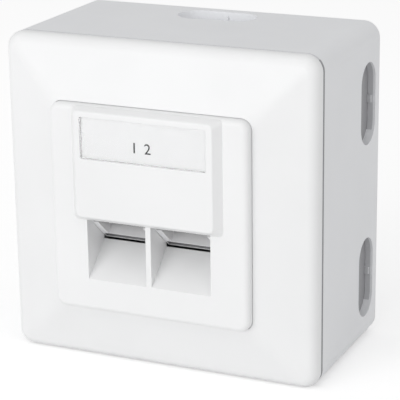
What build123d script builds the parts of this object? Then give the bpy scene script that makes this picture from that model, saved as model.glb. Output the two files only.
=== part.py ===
from build123d import *
from math import atan2, cos, radians, sin, tan
import os

os.makedirs("parts", exist_ok=True)

# The origin is the centre of the back face, X is right, Z is up and the front faces -Y.
# Heights are measured forward from the wall, so a height h lies at y = -h.

# Surface box
outline = 80.0
outline_radius = 4.0
box_depth = 38.5
box_wall = 2.6
box_floor = 2.5
rim_chamfer = 0.4
device_spacing = 60.0
boss_diameter = 7.0
boss_rib = 1.6
boss_rib_drop = 9.0
fixing_spacing = 60.0
fixing_slot_width = 4.5
fixing_slot_length = 9.0
fixing_pad_margin = 3.75
fixing_pad_height = 1.2
rear_entry_diameter = 22.0
rear_entry_groove = 1.4
rear_entry_web = 0.8

# Knock-outs in the four sides
knock_length = 20.4
knock_width = 10.2
knock_height = 7.9
knock_web = 0.6
knock_upper_inset = 18.6
knock_lower_inset = 17.0
knock_middle = 0.5
knock_slit = 0.5
knock_nib_width = 1.8
knock_nib_depth = 0.5

# Cover frame
joint_groove = 0.7
joint_groove_height = 0.5
frame_side = 3.5
crown_rise = 4.0
crown_edge_radius = 3.0
crown_thickness = 2.0
lip_width = 1.4
skirt_gap = 0.2
skirt_length = 2.0
skirt_thickness = 1.2
window_depth = 5.0
ledge_thickness = 1.4
ledge_width = 2.5

# Centre plate
plate_size = 51.0
plate_radius = 2.6
plate_gap = 0.1
plate_rise = 2.3
plate_edge_radius = 1.3
plate_thickness = 2.0
plate_wall = 1.8
plate_inner_radius = 1.6

# Hood with the label window
hood_rise = 2.2
hood_length = 27.8
hood_margin = 0.2
hood_half_width = 19.3
hood_side_slope = 1.7
hood_bottom_slope = 1.3
hood_top_slope = 0.7
hood_corner_radius = 1.2
hood_edge_radius = 0.5
label_side_margin = 1.5
label_top_margin = 1.3
label_height = 10.1
label_depth = 0.9
label_corner_radius = 0.5
label_gap = 0.1
strip_thickness = 0.2
strip_gap = 0.05

# Port chutes
rib_thickness = 1.34
port_height = 14.9
chute_depth = 8.6
chute_floor_rise = 7.58
chute_wall = 1.3
chute_back_length = 6.5
chute_overlap = 0.1
chute_cut_spare = 1.0
mouth_top_slope = 0.6

# Sloping sockets, where s runs down the face and n runs into the socket
socket_tilt = 40.0
face_inset = 0.73
face_rise = 0.16
face_clearance = 0.3
socket_half_width = 7.2
socket_side_gap = 0.215
socket_start = 0.4
socket_end = 10.9
socket_depth = 15.5
socket_lip = 0.35
shell_thickness = 0.25
mouth_half_width = 5.85
mouth_start = 2.1
mouth_end = 8.7
mouth_depth = 11.5
latch_half_width = 3.1
latch_start = 0.95
liner_depth = 2.6
contact_count = 8
contact_pitch = 1.02
contact_width = 0.45
contact_thickness = 0.35
contact_run = 9.5
contact_tip = 6.0
contact_tip_depth = 8.6
contact_foot_depth = 13.4
contact_slot = 0.65

# Circuit board and terminals
board_thickness = 1.6
board_gap = 0.8
board_start = 2.5
board_shoulder = 7.5
board_end = 33.0
board_neck_gap = 0.6
terminal_half_width = 9.2
terminal_gap = 0.6
terminal_height = 7.0
terminal_start = 12.5
terminal_length = 11.0
terminal_pitch = 2.25
wire_slot_width = 0.9
wire_slot_depth = 4.2
clip_width = 1.5
clip_thickness = 0.5
clip_height = 5.0
clip_slit = 0.35
clip_slit_depth = 3.4
clip_drop = 0.7
clip_gap = 0.15

# Steel carrier
carrier_drop = 2.3
carrier_thickness = 1.0
carrier_gap = 0.5
carrier_radius = 3.0
carrier_slot_length = 8.0
carrier_notch_length = 18.0
carrier_notch_depth = 5.0
window_side_gap = 1.0
window_above = 13.5
window_below = 9.5
window_radius = 1.0

# Shield tub behind the carrier
tub_gap = 1.5
tub_depth = 22.2
tub_radius = 3.5
tub_wall = 1.5
tub_boss_diameter = 6.0
tub_boss_inset = 4.0
ledge_start = 11.0
ledge_end = 30.0
ledge_depth = 4.2
ledge_reach = 4.2
cable_diameter = 6.5
cable_notch_gap = 1.0
cable_notch_depth = 9.0

# Rear lid and cable saddles
lid_thickness = 1.2
tray_margin = 1.65
tray_spare = 3.5
saddle_thickness = 1.2
saddle_width = 5.0
saddle_foot = 4.6
saddle_inset = 1.4
saddle_gap = 2.3

# Earth blade
blade_width = 6.3
blade_thickness = 0.8
blade_length = 20.0
blade_screw_setback = 8.0
blade_screw_inset = 4.0

# Screws
screw_diameter = 3.0
screw_head_diameter = 5.4
screw_head_height = 1.6
small_screw_diameter = 2.5
small_head_diameter = 3.8
small_head_height = 1.3
bore_gap = 0.05
hole_gap = 0.2
cross_length = 2.6
cross_width = 0.6
cross_depth = 0.8
device_screw_length = 15.0
bore_spare = 1.0
housing_screw_length = 7.0
lid_screw_length = 6.0
board_screw_length = 4.0
saddle_screw_length = 3.2
earth_screw_length = 5.0
plate_screw_seat = 2.2
plate_screw_reach = 2.2
plate_boss_wall = 1.8
plate_boss_gap = 0.3


def level(height):
    return Plane.XZ.offset(height)


def bore_radius(diameter):
    return diameter / 2 + bore_gap


def hole_radius(diameter):
    return diameter / 2 + hole_gap


# Heights above the wall
crown_foot = box_depth + frame_side
lip_height = crown_foot + crown_rise
ledge_height = lip_height - window_depth
plate_height = lip_height + plate_rise
plate_back = plate_height - plate_thickness
hood_height = plate_height + hood_rise
label_floor = hood_height - label_depth
seat_level = label_floor - plate_screw_seat
chute_end = plate_height - chute_depth
face_height = plate_height - face_inset
carrier_level = box_depth - carrier_drop
carrier_front = carrier_level + carrier_thickness
plate_screw_end = carrier_level - plate_screw_reach
tub_rear = carrier_level - tub_depth
lid_level = tub_rear - lid_thickness
cable_level = tub_rear + cable_diameter / 2
blade_screw_height = tub_rear + blade_screw_setback

# Sizes that follow from their neighbours
inner_size = outline - 2 * box_wall
knock_depth = box_wall - knock_web
knock_upper = outline / 2 - knock_upper_inset
knock_lower = knock_lower_inset - outline / 2
skirt_size = inner_size - 2 * skirt_gap
hollow_size = skirt_size - 2 * skirt_thickness
opening_size = plate_size + 2 * plate_gap
opening_radius = plate_radius + plate_gap
window_outer = opening_size + 2 * lip_width
ledge_opening = plate_size - 2 * ledge_width
plate_inner = plate_size - 2 * plate_wall
carrier_size = hollow_size - 2 * carrier_gap
port_width = 2 * (socket_half_width + shell_thickness + socket_side_gap)
port_half_span = rib_thickness / 2 + port_width
port_centre = (rib_thickness + port_width) / 2
chute_half_width = port_half_span + chute_wall
window_half_width = port_half_span + window_side_gap
tub_size = device_spacing - boss_diameter - 2 * tub_gap
tub_inner = tub_size - 2 * tub_wall
boss_spacing = tub_size - 2 * tub_boss_inset
board_half_width = tub_inner / 2 - board_gap
board_neck_half_width = window_half_width - board_neck_gap
board_screw_spacing = tub_inner - ledge_reach
board_screw_depth = (ledge_start + ledge_end) / 2
terminal_centre = terminal_half_width + terminal_gap
saddle_span = cable_diameter + 2 * saddle_foot
saddle_screw_spacing = saddle_span - 2 * saddle_inset
saddle_outer = cable_diameter + 2 * saddle_thickness
cable_spacing = saddle_span + saddle_gap
cable_places = (-cable_spacing / 2, cable_spacing / 2)
tray_width = cable_spacing + saddle_span + 2 * tray_margin
tray_length = saddle_width + tray_spare
saddle_level = -tub_size / 2 - tray_length / 2

# Levels on the front
hood_top = plate_size / 2 - hood_margin
hood_bottom = hood_top - hood_length
hood_front_top = hood_top - hood_top_slope
hood_front_bottom = hood_bottom + hood_bottom_slope
hood_front_half_width = hood_half_width - hood_side_slope
label_level = hood_front_top - label_top_margin - label_height / 2
label_width = 2 * (hood_front_half_width - label_side_margin)
port_bottom = hood_bottom - port_height
floor_slope = chute_floor_rise / chute_depth
chute_top = hood_bottom + chute_back_length
face_level = hood_bottom + face_rise
window_top = hood_bottom + window_above
window_bottom = hood_bottom - window_below
window_middle = (window_top + window_bottom) / 2

# Levels in the sockets
into = (0, sin(radians(socket_tilt)), cos(radians(socket_tilt)))
down = (0, cos(radians(socket_tilt)), -sin(radians(socket_tilt)))
shell_end = socket_end + shell_thickness
board_rear = shell_end + board_thickness
liner_end = mouth_end + shell_thickness
liner_half_width = mouth_half_width + shell_thickness
contact_span = (contact_count - 1) * contact_pitch
terminal_middle = terminal_start + terminal_length / 2
terminal_end = board_rear + terminal_height
clip_seat = terminal_end - clip_drop - clip_height


def face_point(s, n):
    y = -face_height + s * down[1] + n * into[1]
    z = face_level + s * down[2] + n * into[2]
    return (y, z)


def face_plane(x, s, n):
    y, z = face_point(s, n)
    return Plane(origin=(x, y, z), x_dir=(1, 0, 0), z_dir=into)


def side_plane(x):
    y, z = face_point(0, 0)
    return Plane(origin=(x, y, z), x_dir=into, z_dir=(-1, 0, 0))


def board_plane(s):
    y, z = face_point(s, 0)
    return Plane(origin=(0, y, z), x_dir=(1, 0, 0), z_dir=(0, -down[1], -down[2]))


def crossed_screw(plane, diameter, length, head_diameter, head_height):
    # Head that stands on the plane, with its shank behind it and a cross in the head
    with BuildPart() as screw:
        with BuildSketch(plane):
            Circle(head_diameter / 2)
        extrude(amount=head_height)
        with BuildSketch(plane):
            Circle(diameter / 2)
        extrude(amount=-length)
        with BuildSketch(plane.offset(head_height - cross_depth)):
            Rectangle(cross_length * head_diameter / screw_head_diameter, cross_width)
            Rectangle(cross_width, cross_length * head_diameter / screw_head_diameter)
        extrude(amount=cross_depth, mode=Mode.SUBTRACT)
    return screw.part


# Surface box: square moulding with screw bosses, wall fixings and knock-outs
right_side = Plane(origin=(outline / 2, 0, 0), x_dir=(0, 0, 1), z_dir=(1, 0, 0))
left_side = Plane(origin=(-outline / 2, 0, 0), x_dir=(0, 0, -1), z_dir=(-1, 0, 0))
top_side = Plane(origin=(0, 0, outline / 2), x_dir=(-1, 0, 0), z_dir=(0, 0, 1))
bottom_side = Plane(origin=(0, 0, -outline / 2), x_dir=(1, 0, 0), z_dir=(0, 0, -1))
knock_places = [
    (right_side, knock_upper),
    (right_side, knock_lower),
    (left_side, -knock_upper),
    (left_side, -knock_lower),
    (top_side, -knock_middle),
    (bottom_side, knock_middle),
]

with BuildPart() as surface_box:
    with BuildSketch(level(0)):
        RectangleRounded(outline, outline, outline_radius)
    extrude(amount=box_depth)
    rim_edges = surface_box.edges().filter_by_position(Axis.Y, -box_depth - 0.01, -box_depth + 0.01)
    chamfer(rim_edges, rim_chamfer)
    with BuildSketch(level(box_floor)):
        RectangleRounded(inner_size, inner_size, outline_radius - box_wall)
    extrude(amount=box_depth, mode=Mode.SUBTRACT)
    with BuildSketch(level(box_floor)):
        with GridLocations(device_spacing, 0, 2, 1):
            Circle(boss_diameter / 2)
    extrude(amount=carrier_level - box_floor)
    with BuildSketch(level(box_floor)):
        with GridLocations(inner_size - (inner_size - device_spacing) / 2, 0, 2, 1):
            Rectangle((inner_size - device_spacing) / 2, boss_rib)
    extrude(amount=carrier_level - box_floor - boss_rib_drop)
    with BuildSketch(level(carrier_level)):
        with GridLocations(device_spacing, 0, 2, 1):
            Circle(bore_radius(screw_diameter))
    extrude(amount=-(device_screw_length + bore_spare), mode=Mode.SUBTRACT)
    # Wall fixing slots in raised pads
    with BuildSketch(level(box_floor)):
        with GridLocations(0, fixing_spacing, 1, 2):
            SlotOverall(
                fixing_slot_length + 2 * fixing_pad_margin,
                fixing_slot_width + 2 * fixing_pad_margin,
                rotation=90,
            )
    extrude(amount=fixing_pad_height)
    with BuildSketch(level(0)):
        with GridLocations(0, fixing_spacing, 1, 2):
            SlotOverall(fixing_slot_length, fixing_slot_width, rotation=90)
    extrude(amount=box_floor + fixing_pad_height, mode=Mode.SUBTRACT)
    # Round rear entry, thinned along a ring
    with BuildSketch(level(rear_entry_web)):
        Circle(rear_entry_diameter / 2)
        Circle(rear_entry_diameter / 2 - rear_entry_groove, mode=Mode.SUBTRACT)
    extrude(amount=box_floor, mode=Mode.SUBTRACT)
    # Obround knock-outs, sunk from outside down to a thin web
    for side, place in knock_places:
        with BuildSketch(side.offset(-knock_depth)):
            with Locations((place, knock_height)):
                SlotOverall(knock_length, knock_width)
        extrude(amount=knock_depth, mode=Mode.SUBTRACT)
        # Breaking slit along a quarter of the web's edge
        with BuildSketch(side.offset(-box_wall)):
            with Locations((place, knock_height)):
                SlotOverall(knock_length, knock_width)
                SlotOverall(knock_length - 2 * knock_slit, knock_width - 2 * knock_slit, mode=Mode.SUBTRACT)
            with Locations((place - knock_length / 4, knock_height + knock_width / 4)):
                Rectangle(knock_length / 2, knock_width / 2, mode=Mode.INTERSECT)
        extrude(amount=knock_web, mode=Mode.SUBTRACT)
        with BuildSketch(side.offset(-knock_depth)):
            with Locations((place, knock_height - knock_width / 2 + knock_nib_depth / 2)):
                Rectangle(knock_nib_width, knock_nib_depth)
        extrude(amount=knock_depth / 2)
surface_box.part.label = "surface_box"
export_step(surface_box.part, "parts/surface_box.step")


# Space below the crown of the cover frame, around the wall of its window
with BuildPart() as crown_hollow:
    with BuildSketch(level(box_depth)):
        Rectangle(hollow_size, hollow_size)
    extrude(amount=crown_foot - crown_thickness - box_depth)
    with BuildSketch(level(crown_foot - crown_thickness)):
        Rectangle(hollow_size, hollow_size)
    with BuildSketch(level(lip_height - crown_thickness)):
        Rectangle(window_outer, window_outer)
    loft(ruled=True)
    with BuildSketch(level(ledge_height - ledge_thickness)):
        Rectangle(window_outer, window_outer)
    extrude(amount=lip_height, mode=Mode.SUBTRACT)


# Cover frame: crowned square ring with mitred facets, a skirt into the box and a ledge
crown_slope = atan2(crown_rise, (outline - opening_size) / 2)
edge_centre = crown_foot + crown_edge_radius * (tan(crown_slope) - 1 / cos(crown_slope))
edge_end = edge_centre + crown_edge_radius * cos(crown_slope)
edge_inset = crown_edge_radius * (1 - sin(crown_slope))
with BuildPart() as cover_frame:
    with BuildSketch(level(box_depth)):
        groove_size = outline - 2 * joint_groove
        RectangleRounded(groove_size, groove_size, outline_radius - joint_groove)
    extrude(amount=joint_groove_height)
    with BuildSketch(level(box_depth + joint_groove_height)):
        RectangleRounded(outline, outline, outline_radius)
    extrude(amount=edge_centre + crown_edge_radius - box_depth - joint_groove_height)
    fillet(cover_frame.faces().sort_by(Axis.Y)[0].edges(), crown_edge_radius)
    with BuildSketch(level(edge_end)):
        Rectangle(outline, outline)
    extrude(amount=crown_edge_radius, mode=Mode.SUBTRACT)
    with BuildSketch(level(edge_end)):
        ring_size = outline - 2 * edge_inset
        RectangleRounded(ring_size, ring_size, outline_radius - edge_inset)
    with BuildSketch(level(lip_height)):
        RectangleRounded(opening_size, opening_size, opening_radius)
    loft(ruled=True)
    add(crown_hollow.part, mode=Mode.SUBTRACT)
    with BuildSketch(level(ledge_height)):
        RectangleRounded(opening_size, opening_size, opening_radius)
    extrude(amount=window_depth, mode=Mode.SUBTRACT)
    with BuildSketch(level(box_depth)):
        RectangleRounded(ledge_opening, ledge_opening, opening_radius)
    extrude(amount=ledge_height - box_depth, mode=Mode.SUBTRACT)
    # Skirt that centres the frame inside the box
    with BuildSketch(level(box_depth - skirt_length)):
        RectangleRounded(skirt_size, skirt_size, outline_radius - box_wall - skirt_gap)
        Rectangle(hollow_size, hollow_size, mode=Mode.SUBTRACT)
    extrude(amount=skirt_length)
cover_frame.part.label = "cover_frame"
export_step(cover_frame.part, "parts/cover_frame.step")


# Centre plate: raised plate with the hood, the label window and two port chutes
def floor_level(height):
    return port_bottom + (plate_height - height) * floor_slope


with BuildPart() as centre_plate:
    with BuildSketch(level(ledge_height)):
        RectangleRounded(plate_size, plate_size, plate_radius)
    extrude(amount=plate_height - ledge_height)
    fillet(
        centre_plate.edges().filter_by_position(Axis.Y, -plate_height - 0.01, -plate_height + 0.01),
        plate_edge_radius,
    )
    with BuildSketch(level(ledge_height)):
        RectangleRounded(plate_inner, plate_inner, plate_inner_radius)
    extrude(amount=plate_back - ledge_height, mode=Mode.SUBTRACT)
    # Hood with sloping sides
    with BuildSketch(level(plate_back)):
        with Locations((0, (hood_bottom + hood_top) / 2)):
            RectangleRounded(2 * hood_half_width, hood_top - hood_bottom, hood_corner_radius)
    extrude(amount=plate_thickness)
    with BuildSketch(level(plate_height)):
        with Locations((0, (hood_bottom + hood_top) / 2)):
            RectangleRounded(2 * hood_half_width, hood_top - hood_bottom, hood_corner_radius)
    with BuildSketch(level(hood_height)):
        with Locations((0, (hood_front_bottom + hood_front_top) / 2)):
            RectangleRounded(
                2 * hood_front_half_width, hood_front_top - hood_front_bottom, hood_corner_radius
            )
    loft(ruled=True)
    fillet(
        centre_plate.edges().filter_by_position(Axis.Y, -hood_height - 0.01, -hood_height + 0.01),
        hood_edge_radius,
    )
    # Chute block behind the plate
    floor_drop = chute_wall * (1 + floor_slope**2) ** 0.5
    block_front = plate_back + chute_overlap
    with BuildSketch(Plane.YZ.offset(-chute_half_width)):
        with BuildLine():
            Polyline(
                (-block_front, floor_level(block_front) - floor_drop),
                (-chute_end, floor_level(chute_end) - floor_drop),
                (-chute_end, chute_top),
                (-block_front, chute_top),
                close=True,
            )
        make_face()
    extrude(amount=2 * chute_half_width)
    # Screw boss behind the label
    with BuildSketch(level(carrier_front + plate_boss_gap)):
        with Locations((0, label_level)):
            Circle(hole_radius(screw_diameter) + plate_boss_wall)
    extrude(amount=plate_height - carrier_front - plate_boss_gap)
    with BuildSketch(level(ledge_height)):
        with Locations((0, (label_level + plate_inner / 2) / 2)):
            Rectangle(plate_boss_wall, plate_inner / 2 - label_level)
    extrude(amount=plate_back - ledge_height)
    # Cavities for the sockets and the mouths of the chutes
    front_clear = hood_height - plate_height
    cut_rear = chute_end - chute_cut_spare
    rear_n = (face_height - cut_rear + face_clearance * down[1]) / into[1]
    for start in (-port_half_span, rib_thickness / 2):
        with BuildSketch(Plane.YZ.offset(start)):
            with BuildLine():
                Polyline(
                    (-hood_height, floor_level(hood_height)),
                    (-cut_rear, floor_level(cut_rear)),
                    face_point(-face_clearance, rear_n),
                    face_point(-face_clearance, 0),
                    (-plate_height, hood_bottom),
                    (-hood_height, hood_bottom - front_clear * mouth_top_slope),
                    close=True,
                )
            make_face()
        extrude(amount=port_width, mode=Mode.SUBTRACT)
    # Label window with the seat of the screw
    with BuildSketch(level(label_floor)):
        with Locations((0, label_level)):
            RectangleRounded(label_width, label_height, label_corner_radius)
    extrude(amount=label_depth, mode=Mode.SUBTRACT)
    with BuildSketch(level(label_floor)):
        with Locations((0, label_level)):
            Circle(screw_head_diameter / 2 + hole_gap)
    extrude(amount=-plate_screw_seat, mode=Mode.SUBTRACT)
    with BuildSketch(level(seat_level)):
        with Locations((0, label_level)):
            Circle(hole_radius(screw_diameter))
    extrude(amount=-(seat_level - carrier_level), mode=Mode.SUBTRACT)
centre_plate.part.label = "centre_plate"
export_step(centre_plate.part, "parts/centre_plate.step")


# Label strip that lies on the floor of the window
cover_width = label_width - 2 * label_gap
cover_length = label_height - 2 * label_gap
cover_radius = label_corner_radius - label_gap
with BuildPart() as label_strip:
    with BuildSketch(level(label_floor)):
        with Locations((0, label_level)):
            RectangleRounded(cover_width, cover_length, cover_radius)
    extrude(amount=strip_thickness)
label_strip.part.label = "label_strip"
export_step(label_strip.part, "parts/label_strip.step")


# Clear label cover, held by its edges in the window
cover_back = label_floor + strip_thickness + strip_gap
with BuildPart() as label_cover:
    with BuildSketch(level(cover_back)):
        with Locations((0, label_level)):
            RectangleRounded(cover_width, cover_length, cover_radius)
    extrude(amount=hood_height - cover_back)
label_cover.part.label = "label_cover"
export_step(label_cover.part, "parts/label_cover.step")


# Screw that holds the centre plate
with BuildPart() as plate_screw:
    add(
        crossed_screw(
            Plane(origin=(0, -seat_level, label_level), x_dir=(1, 0, 0), z_dir=(0, -1, 0)),
            screw_diameter,
            seat_level - plate_screw_end,
            screw_head_diameter,
            screw_head_height,
        )
    )
plate_screw.part.label = "plate_screw"
export_step(plate_screw.part, "parts/plate_screw.step")


# Steel carrier between the box and the shield tub
with BuildPart() as support_plate:
    with BuildSketch(level(carrier_level)):
        RectangleRounded(carrier_size, carrier_size, carrier_radius)
        with Locations((0, window_middle)):
            RectangleRounded(
                2 * window_half_width, window_top - window_bottom, window_radius, mode=Mode.SUBTRACT
            )
        with GridLocations(device_spacing, 0, 2, 1):
            SlotOverall(carrier_slot_length, 2 * hole_radius(screw_diameter), mode=Mode.SUBTRACT)
        with GridLocations(boss_spacing, boss_spacing, 2, 2):
            Circle(hole_radius(screw_diameter), mode=Mode.SUBTRACT)
        with Locations((0, label_level)):
            Circle(bore_radius(screw_diameter), mode=Mode.SUBTRACT)
        with GridLocations(0, carrier_size, 1, 2):
            RectangleRounded(
                carrier_notch_length, 2 * carrier_notch_depth, carrier_radius, mode=Mode.SUBTRACT
            )
    extrude(amount=carrier_thickness)
support_plate.part.label = "support_plate"
export_step(support_plate.part, "parts/support_plate.step")


# Two screws that hold the carrier on the bosses of the box
with BuildPart() as device_screws:
    for x in (-device_spacing / 2, device_spacing / 2):
        add(
            crossed_screw(
                Plane(origin=(x, -carrier_front, 0), x_dir=(1, 0, 0), z_dir=(0, -1, 0)),
                screw_diameter,
                device_screw_length,
                screw_head_diameter,
                screw_head_height,
            )
        )
device_screws.part.label = "device_screws"
export_step(device_screws.part, "parts/device_screws.step")


# Shield tub: cast tray, open to the rear, with sloping ledges for the circuit board
with BuildPart() as module_housing:
    with BuildSketch(level(tub_rear)):
        RectangleRounded(tub_size, tub_size, tub_radius)
    extrude(amount=carrier_level - tub_rear)
    with BuildSketch(level(tub_rear)):
        RectangleRounded(tub_inner, tub_inner, tub_radius - tub_wall)
    extrude(amount=carrier_level - tub_wall - tub_rear, mode=Mode.SUBTRACT)
    with BuildSketch(level(tub_rear)):
        with GridLocations(boss_spacing, boss_spacing, 2, 2):
            Circle(tub_boss_diameter / 2)
    extrude(amount=carrier_level - tub_rear)
    for x in (ledge_reach + tub_wall - tub_size / 2, tub_size / 2 - tub_wall / 2):
        with BuildSketch(side_plane(x)):
            with BuildLine():
                Polyline(
                    (ledge_start, shell_end - ledge_depth),
                    (ledge_start, shell_end),
                    (ledge_end, shell_end),
                    (ledge_end, shell_end - ledge_depth),
                    close=True,
                )
            make_face()
        extrude(amount=ledge_reach + tub_wall / 2)
    with BuildSketch(level(carrier_level)):
        with Locations((0, window_middle)):
            RectangleRounded(2 * window_half_width, window_top - window_bottom, window_radius)
        with Locations((0, label_level)):
            Circle(hole_radius(screw_diameter))
    extrude(amount=-tub_wall, mode=Mode.SUBTRACT)
    with BuildSketch(level(tub_rear)):
        with GridLocations(boss_spacing, boss_spacing, 2, 2):
            Circle(bore_radius(screw_diameter))
    extrude(amount=carrier_level - tub_rear, mode=Mode.SUBTRACT)
    with BuildSketch(board_plane(shell_end)):
        with Locations((0, board_screw_depth)):
            with GridLocations(board_screw_spacing, 0, 2, 1):
                Circle(bore_radius(small_screw_diameter))
    extrude(amount=ledge_depth, mode=Mode.SUBTRACT)
    # Notches where the cables enter
    with BuildSketch(level(tub_rear)):
        with Locations((0, -tub_size / 2 + tub_wall / 2)):
            with GridLocations(cable_spacing, 0, 2, 1):
                Rectangle(cable_diameter + 2 * cable_notch_gap, 2 * tub_wall)
    extrude(amount=cable_notch_depth, mode=Mode.SUBTRACT)
    # Boss for the earth screw under the top wall
    with BuildSketch(Plane.XY.offset(tub_inner / 2 - earth_screw_length)):
        with Locations((0, -blade_screw_height)):
            Circle(tub_boss_diameter / 2)
    extrude(amount=earth_screw_length + tub_wall / 2)
    with BuildSketch(Plane.XY.offset(tub_inner / 2 - earth_screw_length)):
        with Locations((0, -blade_screw_height)):
            Circle(bore_radius(screw_diameter))
    extrude(amount=earth_screw_length + 2 * tub_wall, mode=Mode.SUBTRACT)
module_housing.part.label = "module_housing"
export_step(module_housing.part, "parts/module_housing.step")


# Four screws between the carrier and the tub
with BuildPart() as housing_screws:
    for place in GridLocations(boss_spacing, boss_spacing, 2, 2):
        x, z = place.position.X, place.position.Y
        add(
            crossed_screw(
                Plane(origin=(x, -carrier_front, z), x_dir=(1, 0, 0), z_dir=(0, -1, 0)),
                screw_diameter,
                housing_screw_length,
                screw_head_diameter,
                screw_head_height,
            )
        )
housing_screws.part.label = "housing_screws"
export_step(housing_screws.part, "parts/housing_screws.step")


# Circuit board: stepped plate under the sockets, parallel to them
with BuildPart() as circuit_board:
    with BuildSketch(board_plane(shell_end)):
        with Locations((0, (board_shoulder + board_end) / 2)):
            Rectangle(2 * board_half_width, board_end - board_shoulder)
        with Locations((0, (board_start + board_end) / 2)):
            Rectangle(2 * board_neck_half_width, board_end - board_start)
        with Locations((0, board_screw_depth)):
            with GridLocations(board_screw_spacing, 0, 2, 1):
                Circle(hole_radius(small_screw_diameter), mode=Mode.SUBTRACT)
    extrude(amount=-board_thickness)
circuit_board.part.label = "circuit_board"
export_step(circuit_board.part, "parts/circuit_board.step")


# Two screws between the board and the ledges of the tub
with BuildPart() as board_screws:
    for x in (-board_screw_spacing / 2, board_screw_spacing / 2):
        y, z = face_point(board_rear, board_screw_depth)
        add(
            crossed_screw(
                Plane(origin=(x, y, z), x_dir=(1, 0, 0), z_dir=down),
                small_screw_diameter,
                board_screw_length,
                small_head_diameter,
                small_head_height,
            )
        )
board_screws.part.label = "board_screws"
export_step(board_screws.part, "parts/board_screws.step")


# Sockets: moulded body, metal shell with an inner liner, and eight contact wires
def socket_block(builder_mode, x, half_width, s_start, s_end, n_start, n_end):
    with BuildSketch(face_plane(x, 0, n_start)) as block:
        with Locations((0, (s_start + s_end) / 2)):
            Rectangle(2 * half_width, s_end - s_start)
    extrude(block.sketch, amount=n_end - n_start, mode=builder_mode)


def socket_body(x):
    with BuildPart() as body:
        socket_block(Mode.ADD, x, socket_half_width, socket_start, socket_end, shell_thickness, socket_depth)
        socket_block(Mode.SUBTRACT, x, liner_half_width, mouth_start, liner_end, 0, liner_depth)
        socket_block(Mode.SUBTRACT, x, mouth_half_width, mouth_start, mouth_end, 0, mouth_depth)
        socket_block(Mode.SUBTRACT, x, latch_half_width, latch_start, mouth_start, 0, mouth_depth)
        socket_block(
            Mode.SUBTRACT, x, socket_half_width, liner_end + socket_lip, socket_end, 0, liner_depth
        )
        # Comb that guides the contact wires
        run_end = contact_run + contact_slot
        foot_end = contact_foot_depth + contact_slot / 2
        for i in range(contact_count):
            wire = x - contact_span / 2 + i * contact_pitch
            half_slot = contact_slot / 2
            socket_block(Mode.SUBTRACT, wire, half_slot, mouth_end, run_end, liner_depth, foot_end)
            socket_block(
                Mode.SUBTRACT, wire, half_slot, run_end, socket_end, foot_end - contact_slot, foot_end
            )
    return body


def socket_shell(x):
    with BuildPart() as shell:
        shell_half = socket_half_width + shell_thickness
        shell_start = socket_start - shell_thickness
        shell_rear = socket_depth + shell_thickness
        socket_block(Mode.ADD, x, shell_half, shell_start, shell_end, 0, shell_rear)
        socket_block(Mode.SUBTRACT, x, socket_half_width, socket_start, socket_end, 0, socket_depth)
        socket_block(Mode.SUBTRACT, x, socket_half_width, socket_end, shell_end, liner_depth, shell_rear)
        # Face strips beside the mouth, folded into a liner of the mouth
        socket_block(Mode.ADD, x, socket_half_width, mouth_start, liner_end, 0, shell_thickness)
        socket_block(Mode.ADD, x, liner_half_width, mouth_start, liner_end, 0, liner_depth)
        socket_block(Mode.SUBTRACT, x, mouth_half_width, mouth_start, mouth_end, 0, liner_depth)
    return shell


def socket_wires(x):
    with BuildPart() as wires:
        for i in range(contact_count):
            wire = x - contact_span / 2 + i * contact_pitch
            with BuildSketch(side_plane(wire + contact_width / 2)):
                with BuildLine():
                    bend = liner_depth + contact_slot / 2 + contact_thickness
                    Polyline(
                        (contact_foot_depth, shell_end),
                        (contact_foot_depth, contact_run),
                        (bend, contact_run),
                        (contact_tip_depth, contact_tip),
                    )
                trace(line_width=contact_thickness)
            extrude(amount=contact_width)
    return wires


left_jack = socket_body(-port_centre)
left_jack.part.label = "left_jack"
export_step(left_jack.part, "parts/left_jack.step")

right_jack = socket_body(port_centre)
right_jack.part.label = "right_jack"
export_step(right_jack.part, "parts/right_jack.step")

left_jack_shield = socket_shell(-port_centre)
left_jack_shield.part.label = "left_jack_shield"
export_step(left_jack_shield.part, "parts/left_jack_shield.step")

right_jack_shield = socket_shell(port_centre)
right_jack_shield.part.label = "right_jack_shield"
export_step(right_jack_shield.part, "parts/right_jack_shield.step")

left_contacts = socket_wires(-port_centre)
left_contacts.part.label = "left_contacts"
export_step(left_contacts.part, "parts/left_contacts.step")

right_contacts = socket_wires(port_centre)
right_contacts.part.label = "right_contacts"
export_step(right_contacts.part, "parts/right_contacts.step")


# Punch-down strips on the rear of the board
def terminal_strip(x):
    with BuildPart() as strip:
        with BuildSketch(board_plane(board_rear)):
            with Locations((x, terminal_middle)):
                Rectangle(2 * terminal_half_width, terminal_length)
        extrude(amount=-terminal_height)
        with BuildSketch(board_plane(terminal_end)):
            with Locations((x, terminal_middle)):
                with GridLocations(terminal_pitch, 0, contact_count, 1):
                    Rectangle(wire_slot_width, terminal_length)
        extrude(amount=wire_slot_depth, mode=Mode.SUBTRACT)
        with BuildSketch(board_plane(terminal_end)):
            with Locations((x, terminal_middle)):
                with GridLocations(terminal_pitch, 0, contact_count, 1):
                    Rectangle(clip_width + 2 * clip_gap, clip_thickness + 2 * clip_gap)
        extrude(amount=terminal_end - clip_seat, mode=Mode.SUBTRACT)
    return strip


def terminal_forks(x):
    with BuildPart() as forks:
        with BuildSketch(board_plane(clip_seat)):
            with Locations((x, terminal_middle)):
                with GridLocations(terminal_pitch, 0, contact_count, 1):
                    Rectangle(clip_width, clip_thickness)
        extrude(amount=-clip_height)
        with BuildSketch(board_plane(clip_seat + clip_height)):
            with Locations((x, terminal_middle)):
                with GridLocations(terminal_pitch, 0, contact_count, 1):
                    Rectangle(clip_slit, clip_thickness)
        extrude(amount=clip_slit_depth, mode=Mode.SUBTRACT)
    return forks


left_terminal_block = terminal_strip(-terminal_centre)
left_terminal_block.part.label = "left_terminal_block"
export_step(left_terminal_block.part, "parts/left_terminal_block.step")

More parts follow.
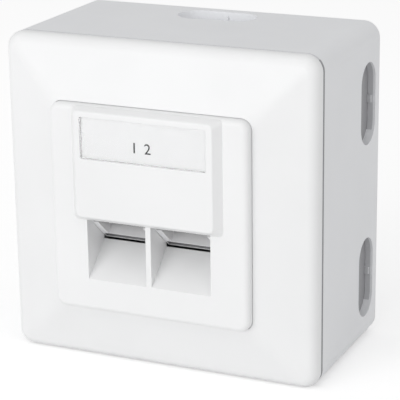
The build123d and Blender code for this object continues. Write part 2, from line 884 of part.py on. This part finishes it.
right_terminal_block = terminal_strip(terminal_centre)
right_terminal_block.part.label = "right_terminal_block"
export_step(right_terminal_block.part, "parts/right_terminal_block.step")

left_terminal_clips = terminal_forks(-terminal_centre)
left_terminal_clips.part.label = "left_terminal_clips"
export_step(left_terminal_clips.part, "parts/left_terminal_clips.step")

right_terminal_clips = terminal_forks(terminal_centre)
right_terminal_clips.part.label = "right_terminal_clips"
export_step(right_terminal_clips.part, "parts/right_terminal_clips.step")


# Rear lid of the tub with the tray for the cables
with BuildPart() as module_cover:
    with BuildSketch(level(lid_level)):
        RectangleRounded(tub_size, tub_size, tub_radius)
        with Locations((0, saddle_level)):
            Rectangle(tray_width, tray_length)
        with GridLocations(boss_spacing, boss_spacing, 2, 2):
            Circle(hole_radius(screw_diameter), mode=Mode.SUBTRACT)
        with Locations((0, saddle_level)):
            for x in cable_places:
                with Locations((x, 0)):
                    with GridLocations(saddle_screw_spacing, 0, 2, 1):
                        Circle(bore_radius(small_screw_diameter), mode=Mode.SUBTRACT)
    extrude(amount=lid_thickness)
module_cover.part.label = "module_cover"
export_step(module_cover.part, "parts/module_cover.step")


# Four screws of the lid
with BuildPart() as cover_screws:
    for place in GridLocations(boss_spacing, boss_spacing, 2, 2):
        x, z = place.position.X, place.position.Y
        add(
            crossed_screw(
                Plane(origin=(x, -lid_level, z), x_dir=(1, 0, 0), z_dir=(0, 1, 0)),
                screw_diameter,
                lid_screw_length,
                screw_head_diameter,
                screw_head_height,
            )
        )
cover_screws.part.label = "cover_screws"
export_step(cover_screws.part, "parts/cover_screws.step")


# Two saddles that press the cables on the tray
with BuildPart() as cable_clamps:
    with BuildSketch(Plane.XY.offset(saddle_level - saddle_width / 2)):
        for x in cable_places:
            with Locations((x, -tub_rear - saddle_thickness / 2)):
                Rectangle(saddle_span, saddle_thickness)
            with Locations((x, -cable_level)):
                Circle(saddle_outer / 2)
            with Locations((x, -(tub_rear + cable_level) / 2)):
                Rectangle(saddle_outer, cable_level - tub_rear)
        for x in cable_places:
            with Locations((x, -cable_level)):
                Circle(cable_diameter / 2, mode=Mode.SUBTRACT)
            with Locations((x, -(tub_rear + cable_level) / 2)):
                Rectangle(cable_diameter, cable_level - tub_rear, mode=Mode.SUBTRACT)
        with Locations((0, -tub_rear + saddle_outer / 2)):
            Rectangle(2 * tray_width, saddle_outer, mode=Mode.SUBTRACT)
    extrude(amount=saddle_width)
    with BuildSketch(level(tub_rear)):
        with Locations((0, saddle_level)):
            for x in cable_places:
                with Locations((x, 0)):
                    with GridLocations(saddle_screw_spacing, 0, 2, 1):
                        Circle(hole_radius(small_screw_diameter))
    extrude(amount=saddle_thickness, mode=Mode.SUBTRACT)
cable_clamps.part.label = "cable_clamps"
export_step(cable_clamps.part, "parts/cable_clamps.step")


# Four screws of the saddles
with BuildPart() as clamp_screws:
    for x in cable_places:
        for shift in (-saddle_screw_spacing / 2, saddle_screw_spacing / 2):
            add(
                crossed_screw(
                    Plane(
                        origin=(x + shift, -tub_rear - saddle_thickness, saddle_level),
                        x_dir=(1, 0, 0),
                        z_dir=(0, -1, 0),
                    ),
                    small_screw_diameter,
                    saddle_screw_length,
                    small_head_diameter,
                    small_head_height,
                )
            )
clamp_screws.part.label = "clamp_screws"
export_step(clamp_screws.part, "parts/clamp_screws.step")


# Flat blade for the earth wire on the top wall of the tub
blade_middle = blade_screw_height + blade_screw_inset - blade_length / 2
with BuildPart() as earth_tag:
    with BuildSketch(Plane.XY.offset(tub_size / 2)):
        with Locations((0, -blade_middle)):
            Rectangle(blade_width, blade_length)
        with Locations((0, -blade_screw_height)):
            Circle(hole_radius(screw_diameter), mode=Mode.SUBTRACT)
    extrude(amount=blade_thickness)
    chamfer(earth_tag.edges().filter_by(Axis.Z).group_by(Axis.Y)[-1], blade_thickness)
earth_tag.part.label = "earth_tag"
export_step(earth_tag.part, "parts/earth_tag.step")


# Screw of the earth blade
with BuildPart() as earth_screw:
    add(
        crossed_screw(
            Plane.XY.offset(tub_size / 2 + blade_thickness).shift_origin(
                (0, -blade_screw_height, tub_size / 2 + blade_thickness)
            ),
            screw_diameter,
            earth_screw_length,
            screw_head_diameter,
            screw_head_height,
        )
    )
earth_screw.part.label = "earth_screw"
export_step(earth_screw.part, "parts/earth_screw.step")
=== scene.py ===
import math

import bpy
from mathutils import Matrix, Vector


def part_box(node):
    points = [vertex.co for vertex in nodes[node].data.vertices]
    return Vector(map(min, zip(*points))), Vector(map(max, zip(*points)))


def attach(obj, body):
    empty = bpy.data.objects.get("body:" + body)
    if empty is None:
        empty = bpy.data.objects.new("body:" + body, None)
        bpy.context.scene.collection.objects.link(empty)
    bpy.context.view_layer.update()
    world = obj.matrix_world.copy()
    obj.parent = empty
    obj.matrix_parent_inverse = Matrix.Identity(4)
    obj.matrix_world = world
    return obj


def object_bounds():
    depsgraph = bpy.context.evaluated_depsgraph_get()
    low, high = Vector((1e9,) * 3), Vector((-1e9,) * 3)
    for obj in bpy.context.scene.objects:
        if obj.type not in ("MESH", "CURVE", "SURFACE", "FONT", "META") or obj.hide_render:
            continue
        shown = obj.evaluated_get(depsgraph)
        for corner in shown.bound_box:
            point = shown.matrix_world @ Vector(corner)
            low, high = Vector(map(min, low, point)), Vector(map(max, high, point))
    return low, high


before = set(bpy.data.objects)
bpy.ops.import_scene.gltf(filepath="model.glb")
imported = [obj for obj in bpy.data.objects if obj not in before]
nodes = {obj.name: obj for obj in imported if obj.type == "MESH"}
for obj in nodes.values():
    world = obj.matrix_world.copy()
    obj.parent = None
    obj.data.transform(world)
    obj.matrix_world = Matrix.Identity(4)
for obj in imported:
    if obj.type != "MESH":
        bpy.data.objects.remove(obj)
cad_box = [list(corner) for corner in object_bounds()]
scene = bpy.context.scene
MM = 0.001

# Measures of the pieces that the painted shade in the materials and the port numbers go by
box_low, box_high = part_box("surface_box")
shell_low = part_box("left_jack_shield")[0]
strip_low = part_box("label_strip")[0]
WALL = 2.6 * MM
WEB = 0.6 * MM
WEB_SPARE = 0.1 * MM
RIM = 0.42 * MM
GROOVE = 0.55 * MM
SOCKET_TILT = math.radians(40)
SHELL_HEIGHT = 11.0 * MM
UNDER_LINER = 1.95 * MM
SHELL_EDGE = 0.12 * MM
NUMBER_SIZE = 3.6 * MM
NUMBER_SPACING = 3.4 * MM
NUMBER_SHIFT = -0.5 * MM
NUMBER_HEIGHT = 16.9 * MM
INK_DEPTH = 0.012 * MM
INK_GAP = 0.001 * MM
FLOOR_SIZE = 3.0
FLOOR_GAP = 0.02 * MM

# Tones of the materials, of the painted shade and of the light
WALL_LIGHT = 0.45
TOP_RIM = 0.35
SHADE_BLUE = 1.04
FACING_LIMIT = 0.5
GRAIN_DEPTH = 0.02 * MM
FLOOR_TONE = 0.84
FLOOR_GLOW = 0.35
WORLD_LIGHT = 0.8
LIT_POINT = Vector((0, -0.03, 0))


# Procedural materials
def new_material(name):
    material = bpy.data.materials.new(name)
    material.use_nodes = True
    tree = material.node_tree
    tree.nodes.clear()
    output = tree.nodes.new("ShaderNodeOutputMaterial")
    shader = tree.nodes.new("ShaderNodeBsdfPrincipled")
    tree.links.new(shader.outputs["BSDF"], output.inputs["Surface"])
    return material, tree, shader


def noise(tree, scale, detail=2.0, stretch=(1, 1, 1)):
    coords = tree.nodes.new("ShaderNodeTexCoord")
    mapping = tree.nodes.new("ShaderNodeMapping")
    mapping.inputs["Scale"].default_value = stretch
    texture = tree.nodes.new("ShaderNodeTexNoise")
    texture.inputs["Scale"].default_value = scale
    texture.inputs["Detail"].default_value = detail
    tree.links.new(coords.outputs["Object"], mapping.inputs["Vector"])
    tree.links.new(mapping.outputs["Vector"], texture.inputs["Vector"])
    return texture.outputs["Fac"]


def ramp(tree, factor, low, high, start=0.3, end=0.7):
    node = tree.nodes.new("ShaderNodeValToRGB")
    node.color_ramp.elements[0].position = start
    node.color_ramp.elements[0].color = (*low, 1)
    node.color_ramp.elements[1].position = end
    node.color_ramp.elements[1].color = (*high, 1)
    tree.links.new(factor, node.inputs["Fac"])
    return node.outputs["Color"]


def spread(tree, factor, low, high):
    node = tree.nodes.new("ShaderNodeMapRange")
    node.inputs["To Min"].default_value = low
    node.inputs["To Max"].default_value = high
    tree.links.new(factor, node.inputs["Value"])
    return node.outputs["Result"]


def bump(tree, shader, height, strength, distance):
    node = tree.nodes.new("ShaderNodeBump")
    node.inputs["Strength"].default_value = strength
    node.inputs["Distance"].default_value = distance
    tree.links.new(height, node.inputs["Height"])
    tree.links.new(node.outputs["Normal"], shader.inputs["Normal"])


def calc(tree, operation, first, second=0.0):
    node = tree.nodes.new("ShaderNodeMath")
    node.operation = operation
    for value, socket in zip((first, second), node.inputs):
        if isinstance(value, float):
            socket.default_value = value
        else:
            tree.links.new(value, socket)
    return node.outputs[0]


def along(tree, output, axis):
    coords = tree.nodes.new("ShaderNodeTexCoord")
    split = tree.nodes.new("ShaderNodeSeparateXYZ")
    tree.links.new(coords.outputs[output], split.inputs["Vector"])
    return split.outputs[axis]


def not_upward(tree):
    return calc(tree, "LESS_THAN", along(tree, "Normal", "Z"), FACING_LIMIT)


def wall_shade(tree):
    # Painted shade: the webs of the knock-outs at the sides are painted darker, the walls around them
    # less and the small nib not at all. The rim at the joint gets painted shade too. Where they face
    # up, the recesses stay as light as the box, and the rim is painted only a little darker.
    web_back = box_high.x - WALL
    reach = calc(tree, "ABSOLUTE", along(tree, "Object", "X"))
    inside = calc(tree, "LESS_THAN", reach, box_high.x - WEB)
    behind = calc(tree, "GREATER_THAN", reach, web_back + WEB_SPARE)
    raised = calc(tree, "GREATER_THAN", reach, web_back + WEB + WEB_SPARE)
    sideways = calc(tree, "ABSOLUTE", along(tree, "Normal", "X"))
    nib = calc(tree, "MULTIPLY", raised, calc(tree, "GREATER_THAN", sideways, FACING_LIMIT))
    lighter = calc(tree, "MAXIMUM", calc(tree, "MULTIPLY", raised, WALL_LIGHT), nib)
    recess = calc(tree, "MULTIPLY", inside, behind)
    recess = calc(tree, "MULTIPLY", recess, calc(tree, "SUBTRACT", 1.0, lighter))
    rim = calc(tree, "LESS_THAN", along(tree, "Object", "Y"), box_low.y + RIM)
    level_face = not_upward(tree)
    recess = calc(tree, "MULTIPLY", recess, level_face)
    rim = calc(tree, "MULTIPLY", rim, calc(tree, "MAXIMUM", level_face, TOP_RIM))
    return calc(tree, "MAXIMUM", recess, rim)


def joint_shade(tree):
    # Painted shade in the groove between the frame and the box, left off where the faces point up
    groove = calc(tree, "GREATER_THAN", along(tree, "Object", "Y"), box_low.y - GROOVE)
    return calc(tree, "MULTIPLY", groove, not_upward(tree))


def shell_shade(tree):
    # Painted shade on the inside of the shell below the liner, measured from the lower front corner
    # of the shell
    sine, cosine = math.sin(SOCKET_TILT), math.cos(SOCKET_TILT)
    corner_y = shell_low.y + SHELL_HEIGHT * cosine
    behind_corner = calc(tree, "SUBTRACT", along(tree, "Object", "Y"), corner_y)
    above_corner = calc(tree, "SUBTRACT", along(tree, "Object", "Z"), shell_low.z)
    down = calc(
        tree,
        "SUBTRACT",
        calc(tree, "MULTIPLY", behind_corner, cosine),
        calc(tree, "MULTIPLY", above_corner, sine),
    )
    deep = calc(
        tree,
        "ADD",
        calc(tree, "MULTIPLY", behind_corner, sine),
        calc(tree, "MULTIPLY", above_corner, cosine),
    )
    below = calc(tree, "GREATER_THAN", down, -UNDER_LINER)
    behind = calc(tree, "GREATER_THAN", deep, SHELL_EDGE)
    return calc(tree, "MULTIPLY", below, behind)


# Mixes the painted shade tone, a little bluer, into the colour where the shade mask is set
def shaded(tree, color, shade):
    if not shade:
        return color
    factor, tone = shade
    mix = tree.nodes.new("ShaderNodeMix")
    mix.data_type = "RGBA"
    tree.links.new(factor(tree), mix.inputs["Factor"])
    tree.links.new(color, mix.inputs[6])
    mix.inputs[7].default_value = (tone, tone, SHADE_BLUE * tone, 1)
    return mix.outputs[2]


def plastic(name, low, high, rough=(0.38, 0.5), grain=5200, strength=0.12, shade=None):
    material, tree, shader = new_material(name)
    color = ramp(tree, noise(tree, 45, 2), low, high)
    tree.links.new(shaded(tree, color, shade), shader.inputs["Base Color"])
    tree.links.new(spread(tree, noise(tree, 160, 3), *rough), shader.inputs["Roughness"])
    shader.inputs["IOR"].default_value = 1.5
    shader.inputs["Specular IOR Level"].default_value = 0.35
    bump(tree, shader, noise(tree, grain, 3), strength, GRAIN_DEPTH)
    return material


def metal(
    name,
    low,
    high,
    rough=(0.25, 0.4),
    scale=900,
    stretch=(1, 1, 1),
    strength=0.1,
    sheen=1.0,
    shade=None,
):
    material, tree, shader = new_material(name)
    streaks = noise(tree, scale, 3, stretch)
    color = ramp(tree, noise(tree, 220, 3), low, high)
    tree.links.new(shaded(tree, color, shade), shader.inputs["Base Color"])
    tree.links.new(spread(tree, streaks, *rough), shader.inputs["Roughness"])
    shader.inputs["Metallic"].default_value = sheen
    bump(tree, shader, streaks, strength, GRAIN_DEPTH)
    return material


def clear_plastic(name):
    material, tree, shader = new_material(name)
    shader.inputs["Base Color"].default_value = (0.97, 0.97, 0.97, 1)
    shader.inputs["Transmission Weight"].default_value = 1.0
    shader.inputs["IOR"].default_value = 1.12
    shader.inputs["Specular IOR Level"].default_value = 0.3
    tree.links.new(spread(tree, noise(tree, 300, 2), 0.02, 0.06), shader.inputs["Roughness"])
    return material


# Box plastic with painted shade, tone 0.36, in the knock-out recesses and on the rim at the joint
white_box = plastic(
    "box_white",
    (0.815, 0.823, 0.84),
    (0.838, 0.846, 0.863),
    (0.4, 0.52),
    4200,
    0.16,
    (wall_shade, 0.36),
)
# Cover plastic for the frame and the centre plate, with painted shade, tone 0.6, in the groove at the
# joint
white_cover = plastic(
    "cover_white",
    (0.85, 0.853, 0.857),
    (0.874, 0.877, 0.881),
    (0.34, 0.46),
    6200,
    0.1,
    (joint_shade, 0.6),
)
card = plastic("label_card", (0.94, 0.945, 0.95), (0.955, 0.96, 0.965), (0.7, 0.85), 2600, 0.2)
clear = clear_plastic("clear_cover")
screw = metal("screw_zinc", (0.58, 0.59, 0.6), (0.68, 0.68, 0.69), (0.28, 0.42))
sheet = metal("carrier_sheet", (0.62, 0.62, 0.63), (0.7, 0.7, 0.71), (0.3, 0.45), 700, (1, 1, 14))
cast = metal("cast_shield", (0.52, 0.53, 0.54), (0.62, 0.63, 0.64), (0.42, 0.58), 1500, strength=0.35)
# Tinned shell with painted shade, tone 0.3, inside the shell below the liner
tinned = metal(
    "tinned_shell",
    (0.88, 0.88, 0.89),
    (0.95, 0.95, 0.96),
    (0.42, 0.55),
    1100,
    (1, 9, 1),
    sheen=0.25,
    shade=(shell_shade, 0.3),
)
gold = metal("contact_gold", (0.83, 0.62, 0.28), (0.92, 0.74, 0.4), (0.15, 0.28), 1800)
bronze = metal("clip_bronze", (0.62, 0.56, 0.45), (0.72, 0.66, 0.55), (0.3, 0.42))
laminate = plastic("board_laminate", (0.012, 0.10, 0.04), (0.02, 0.15, 0.06), (0.25, 0.4), 1900, 0.3)
dark = plastic("socket_dark", (0.05, 0.05, 0.052), (0.07, 0.07, 0.072), (0.35, 0.5), 4200, 0.15)
terminal = plastic("terminal_ivory", (0.72, 0.72, 0.68), (0.78, 0.78, 0.74), (0.4, 0.5), 3600, 0.15)
ink = plastic("port_number_ink", (0.03, 0.03, 0.032), (0.05, 0.05, 0.052), (0.5, 0.6), 2600, 0.1)

finishes = {
    "surface_box": white_box,
    "cover_frame": white_cover,
    "centre_plate": white_cover,
    "label_cover": clear,
    "label_strip": card,
    "plate_screw": screw,
    "support_plate": sheet,
    "device_screws": screw,
    "module_housing": cast,
    "housing_screws": screw,
    "module_cover": cast,
    "cover_screws": screw,
    "circuit_board": laminate,
    "board_screws": screw,
    "left_jack": dark,
    "right_jack": dark,
    "left_jack_shield": tinned,
    "right_jack_shield": tinned,
    "left_contacts": gold,
    "right_contacts": gold,
    "left_terminal_block": terminal,
    "right_terminal_block": terminal,
    "left_terminal_clips": bronze,
    "right_terminal_clips": bronze,
    "cable_clamps": sheet,
    "clamp_screws": screw,
    "earth_tag": bronze,
    "earth_screw": screw,
}
for name, material in finishes.items():
    node = nodes[name]
    if not node.data.materials:
        node.data.materials.append(material)
    for slot in node.material_slots:
        slot.material = material


# Port numbers printed on the label strip
for index, digit in enumerate("12"):
    text = bpy.data.curves.new("port_number_" + digit, "FONT")
    text.body = digit
    text.size = NUMBER_SIZE
    text.align_x = "CENTER"
    text.align_y = "CENTER"
    text.extrude = INK_DEPTH
    piece = bpy.data.objects.new("port_number_" + digit, text)
    scene.collection.objects.link(piece)
    piece.rotation_euler = (math.pi / 2, 0, 0)
    number_x = (index - 0.5) * NUMBER_SPACING + NUMBER_SHIFT
    piece.location = (number_x, strip_low.y - INK_DEPTH - INK_GAP, NUMBER_HEIGHT)
    bpy.context.view_layer.update()
    settled = piece.evaluated_get(bpy.context.evaluated_depsgraph_get())
    mesh = bpy.data.meshes.new_from_object(settled)
    mesh.transform(piece.matrix_world)
    bpy.data.objects.remove(piece)
    number = bpy.data.objects.new("port_number_" + digit, mesh)
    scene.collection.objects.link(number)
    mesh.materials.clear()
    mesh.materials.append(ink)
    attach(number, "outlet")


# Camera at the photograph's viewing angle, in degrees, millimetres and pixels of a 400 pixel picture
AZIMUTH, ELEVATION, ROLL = 24.538, 17.627, 0.823
DISTANCE = 454.669
OFFSET_X, OFFSET_Y = 7.594, 9.502
FOCAL_PIXELS, PICTURE_PIXELS = 1768.6, 400
SENSOR = 36
a, e, r = (math.radians(angle) for angle in (AZIMUTH, ELEVATION, ROLL))
back = Vector((math.sin(a) * math.cos(e), -math.cos(a) * math.cos(e), math.sin(e)))
right = Vector((math.cos(a), math.sin(a), 0))
up = back.cross(right)
cam_x = right * math.cos(r) - up * math.sin(r)
cam_y = right * math.sin(r) + up * math.cos(r)
centre = (back * DISTANCE - cam_x * OFFSET_X - cam_y * OFFSET_Y) * MM
camera_data = bpy.data.cameras.new("camera")
camera_data.sensor_width = SENSOR
camera_data.lens = FOCAL_PIXELS * SENSOR / PICTURE_PIXELS
camera_data.clip_start = 0.01
camera_data.clip_end = 20
camera = bpy.data.objects.new("camera", camera_data)
scene.collection.objects.link(camera)
camera.matrix_world = Matrix(
    (
        (cam_x.x, cam_y.x, back.x, centre.x),
        (cam_x.y, cam_y.y, back.y, centre.y),
        (cam_x.z, cam_y.z, back.z, centre.z),
        (0, 0, 0, 1),
    )
)
scene.camera = camera


# Pale floor that keeps the soft shadow and shows white to the camera
floor_mesh = bpy.data.meshes.new("floor")
floor_z = cad_box[0][2] - FLOOR_GAP
corners = [
    (x * FLOOR_SIZE, y * FLOOR_SIZE, floor_z)
    for x, y in ((-1, -1), (1, -1), (1, 1), (-1, 1))
]
floor_mesh.from_pydata(corners, [], [(0, 1, 2, 3)])
floor = bpy.data.objects.new("floor", floor_mesh)
scene.collection.objects.link(floor)
floor_material = bpy.data.materials.new("floor_white")
floor_material.use_nodes = True
tree = floor_material.node_tree
tree.nodes.clear()
output = tree.nodes.new("ShaderNodeOutputMaterial")
diffuse = tree.nodes.new("ShaderNodeBsdfDiffuse")
diffuse.inputs["Color"].default_value = (FLOOR_TONE, FLOOR_TONE, FLOOR_TONE, 1)
glow = tree.nodes.new("ShaderNodeEmission")
path = tree.nodes.new("ShaderNodeLightPath")
both = tree.nodes.new("ShaderNodeAddShader")
seen = calc(tree, "MAXIMUM", path.outputs["Is Camera Ray"], path.outputs["Is Transmission Ray"])
seen = calc(tree, "MAXIMUM", seen, path.outputs["Is Glossy Ray"])
tree.links.new(calc(tree, "MULTIPLY", seen, FLOOR_GLOW), glow.inputs["Strength"])
tree.links.new(diffuse.outputs["BSDF"], both.inputs[0])
tree.links.new(glow.outputs["Emission"], both.inputs[1])
tree.links.new(both.outputs["Shader"], output.inputs["Surface"])
floor_mesh.materials.append(floor_material)


# Soft studio light
world = bpy.data.worlds.new("world")
scene.world = world
world.use_nodes = True
tree = world.node_tree
tree.nodes.clear()
output = tree.nodes.new("ShaderNodeOutputWorld")
background = tree.nodes.new("ShaderNodeBackground")
path = tree.nodes.new("ShaderNodeLightPath")
level = spread(tree, path.outputs["Is Camera Ray"], WORLD_LIGHT, 1.0)
tree.links.new(level, background.inputs["Strength"])
tree.links.new(background.outputs["Background"], output.inputs["Surface"])


def softbox(name, place, width, height, power):
    light = bpy.data.lights.new(name, "AREA")
    light.shape = "RECTANGLE"
    light.size = width
    light.size_y = height
    light.energy = power
    lamp = bpy.data.objects.new(name, light)
    scene.collection.objects.link(lamp)
    lamp.location = place
    lamp.rotation_euler = (LIT_POINT - Vector(place)).to_track_quat("-Z", "Y").to_euler()


softbox("key", (-0.3, -1.15, 0.2), 0.9, 0.7, 5.5)
softbox("top", (-0.1, -0.65, 1.0), 0.8, 0.8, 1.2)
softbox("fill", (0.9, -0.5, 0.35), 0.7, 0.7, 0.8)

scene.view_settings.view_transform = "Standard"
